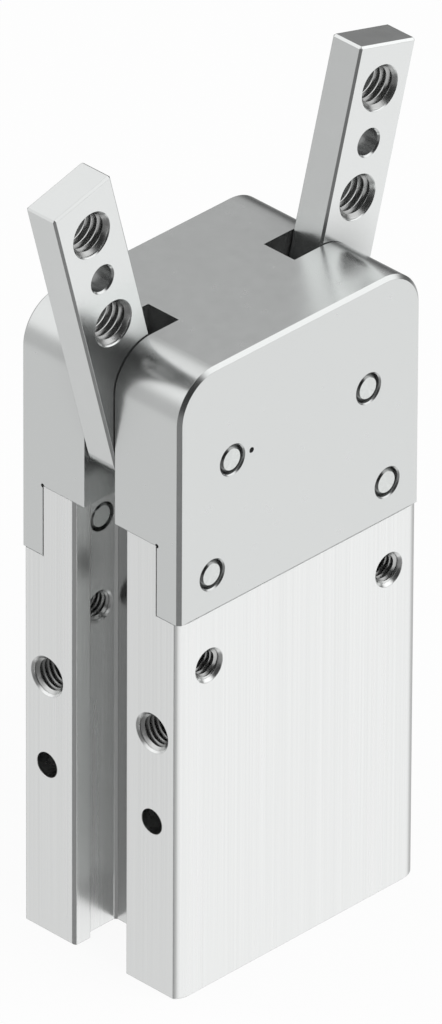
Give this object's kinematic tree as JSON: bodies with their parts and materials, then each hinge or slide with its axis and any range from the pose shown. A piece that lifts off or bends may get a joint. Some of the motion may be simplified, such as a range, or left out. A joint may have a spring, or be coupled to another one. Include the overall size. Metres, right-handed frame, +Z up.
{
  "type": "angular gripper",
  "caption": "Two-jaw angular gripper worked by an air piston, jaws shown open, with slotted body, threaded jaws and air ports in one side.",
  "frame": {"origin": "centre of the bottom face of the body, which is also the centre of the part's base", "axes": "+Z up from the body to the jaw tips; +X the way the right jaw opens; -Y the front, which has the pin ends and two threads"},
  "size_m": [0.0624, 0.0274, 0.1144],
  "materials": {
    "body_aluminium": "brushed extrusion, clear anodised",
    "head_aluminium": "fine matt, clear anodised",
    "jaw_steel": "fine ground",
    "pin_steel": "turned and ground",
    "inner_steel": "machined",
    "rod_steel": "polished",
    "inner_aluminium": "machined",
    "seal_rubber": "smooth",
    "bumper_rubber": "smooth",
    "guide_plastic": "plain",
    "magnet": "bonded magnet",
    "bush_bronze": "turned",
    "spring_steel": "oiled"
  },
  "bodies": {
    "housing": {"body_profile": "body_aluminium", "head_block": "head_aluminium", "pivot_pin_left": "pin_steel", "pivot_pin_right": "pin_steel", "lock_pins": "pin_steel", "rod_bush": "bush_bronze", "rod_seal": "seal_rubber", "seal_retainer": "bush_bronze", "upper_bumper": "bumper_rubber", "lower_bumper": "bumper_rubber", "end_cap": "inner_aluminium", "end_cap_seal": "seal_rubber", "retaining_ring": "spring_steel", "passage_plugs": "inner_steel"},
    "left_jaw": {"jaw_left": "jaw_steel", "driver_pin_left": "pin_steel"},
    "right_jaw": {"jaw_right": "jaw_steel", "driver_pin_right": "pin_steel"},
    "drive": {"crosshead": "inner_steel", "piston_rod": "rod_steel", "piston_upper": "inner_aluminium", "piston_lower": "inner_aluminium", "piston_seals": "seal_rubber", "piston_guide_ring": "guide_plastic", "magnet_ring": "magnet", "piston_screw": "inner_steel"}
  },
  "joints": [
    {"name": "left_jaw_swing", "type": "hinge", "parent": "housing", "child": "left_jaw", "pos_m": [-0.01183, 0, 0.0748], "axis": [0, 1, 0], "range_deg": [0, 18]},
    {"name": "right_jaw_swing", "type": "hinge", "parent": "housing", "child": "right_jaw", "pos_m": [0.01183, 0, 0.0748], "axis": [0, -1, 0], "range_deg": [0, 18]},
    {"name": "piston_slide", "type": "slide", "parent": "housing", "child": "drive", "axis": [0, 0, -1], "range_m": [0, 0.0025]}
  ],
  "couplings": [
    {"joint": "right_jaw_swing", "follows": "left_jaw_swing", "ratio": 1},
    {"joint": "piston_slide", "follows": "left_jaw_swing", "m_per_rad": 0.0079671}
  ]
}
